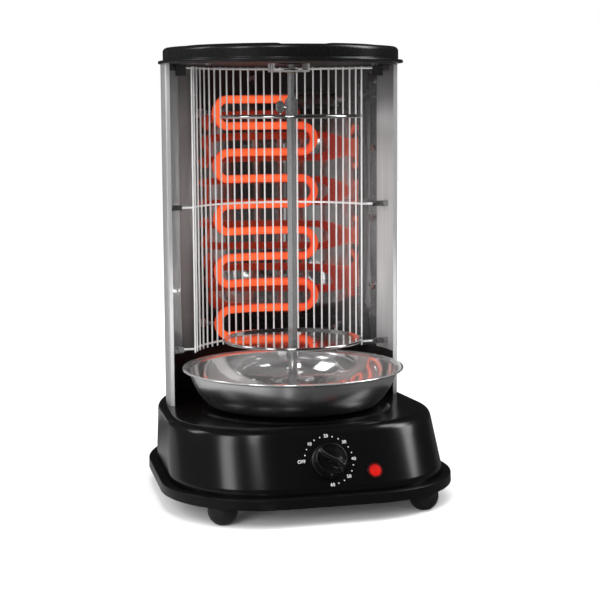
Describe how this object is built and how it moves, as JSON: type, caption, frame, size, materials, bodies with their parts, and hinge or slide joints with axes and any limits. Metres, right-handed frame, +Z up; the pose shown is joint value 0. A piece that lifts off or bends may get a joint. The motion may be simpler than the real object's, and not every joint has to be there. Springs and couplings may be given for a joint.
{
  "type": "electric skewer grill",
  "caption": "Upright electric grill: black base with timer knob and lamp, drip pan, turning spit with skewer discs, wire guard, red tube element, curved steel housing and round cap.",
  "frame": {"origin": "middle of the base's outline, on the surface that the feet stand on", "axes": "+X to the grill's right as the user faces it, +Y towards its back, +Z up along the spit"},
  "size_m": [0.299, 0.3413, 0.46],
  "materials": {
    "foot_rubber": "matt black rubber",
    "zinc_steel": "zinc plated steel",
    "black_plastic": "satin black moulding",
    "black_sheet": "black enamelled sheet steel",
    "black_paint": "satin black paint",
    "cap_paint": "satin black paint",
    "housing_steel": "brushed stainless steel",
    "bright_steel": "polished stainless steel",
    "chrome_wire": "chromed wire",
    "glowing_tube": "red hot sheathed element",
    "dark_terminal": "oxidised cold end",
    "cutout_case": "small bimetal switch",
    "bush_brass": "plain bearing brass",
    "pan_steel": "polished and spun stainless steel",
    "drive_steel": "bright steel",
    "chrome_bar": "chromed square bar",
    "disc_steel": "polished stainless steel",
    "timer_case": "pale moulded case",
    "knob_plastic": "satin black knob",
    "lamp_bezel": "dark red bezel",
    "lamp_red": "lit red lens",
    "neon_glass": "neon bulb",
    "motor_case": "plated motor can",
    "block_plastic": "pale terminal block"
  },
  "bodies": {
    "base": {"rubber_feet": "foot_rubber", "foot_screws": "zinc_steel", "base_plinth": "black_plastic", "bottom_plate": "black_sheet", "base_screws": "zinc_steel", "base_shell": "black_paint", "housing_shell": "housing_steel", "lower_liner": "black_sheet", "inner_reflector": "bright_steel", "guard_brackets": "zinc_steel", "wing_screws": "zinc_steel", "wire_guard": "chrome_wire", "guard_clips": "zinc_steel", "guard_screws": "zinc_steel", "heating_element": "glowing_tube", "element_terminals": "dark_terminal", "element_clamps": "zinc_steel", "thermal_cutout": "cutout_case", "cap_shell": "cap_paint", "ceiling_plate": "black_sheet", "cap_screws": "zinc_steel", "top_bearing_bracket": "housing_steel", "top_bearing_bush": "bush_brass", "corner_brackets": "black_sheet", "deck_bush": "bush_brass", "timer_body": "timer_case", "timer_nut": "zinc_steel", "lamp_holder": "lamp_bezel", "lamp_lens": "lamp_red", "neon_lamp": "neon_glass", "gear_motor": "motor_case", "motor_bracket": "zinc_steel", "motor_screws": "zinc_steel", "terminal_block": "block_plastic", "cable_gland": "black_plastic"},
    "timer": {"timer_knob": "knob_plastic", "timer_shaft": "drive_steel"},
    "drive": {"drive_shaft": "drive_steel", "drive_socket": "drive_steel"},
    "spit": {"spit_rod": "chrome_bar"},
    "upper_plate": {"upper_disc": "disc_steel", "upper_collar": "drive_steel"},
    "lower_plate": {"lower_disc": "disc_steel", "lower_collar": "drive_steel"},
    "upper_screw": {"upper_thumbscrew": "drive_steel"},
    "lower_screw": {"lower_thumbscrew": "drive_steel"},
    "pan": {"drip_pan": "pan_steel"}
  },
  "joints": [
    {"name": "timer_turn", "type": "hinge", "parent": "base", "child": "timer", "pos_m": [0.001, -0.14395, 0.0563], "axis": [0, -0.866, 0.5], "range_deg": [-90, 180]},
    {"name": "spit_turn", "type": "hinge", "parent": "base", "child": "drive", "pos_m": [0, -0.014, 0.1], "axis": [0, 0, 1], "continuous": true},
    {"name": "spit_lift", "type": "slide", "parent": "drive", "child": "spit", "axis": [0, 0, 1], "range_m": [0, 0.009]},
    {"name": "upper_disc_slide", "type": "slide", "parent": "spit", "child": "upper_plate", "axis": [0, 0, 1], "range_m": [-0.09, 0]},
    {"name": "lower_disc_slide", "type": "slide", "parent": "spit", "child": "lower_plate", "axis": [0, 0, 1], "range_m": [0, 0.09]},
    {"name": "upper_thumbscrew_turn", "type": "hinge", "parent": "upper_plate", "child": "upper_screw", "pos_m": [0, -0.014, 0.3972], "axis": [-0.866, -0.5, 0], "range_deg": [-360, 0]},
    {"name": "lower_thumbscrew_turn", "type": "hinge", "parent": "lower_plate", "child": "lower_screw", "pos_m": [0, -0.014, 0.146], "axis": [-0.866, -0.5, 0], "range_deg": [-360, 0]},
    {"name": "pan_lift", "type": "slide", "parent": "base", "child": "pan", "axis": [0, 0, 1], "range_m": [0, 0.006]}
  ]
}
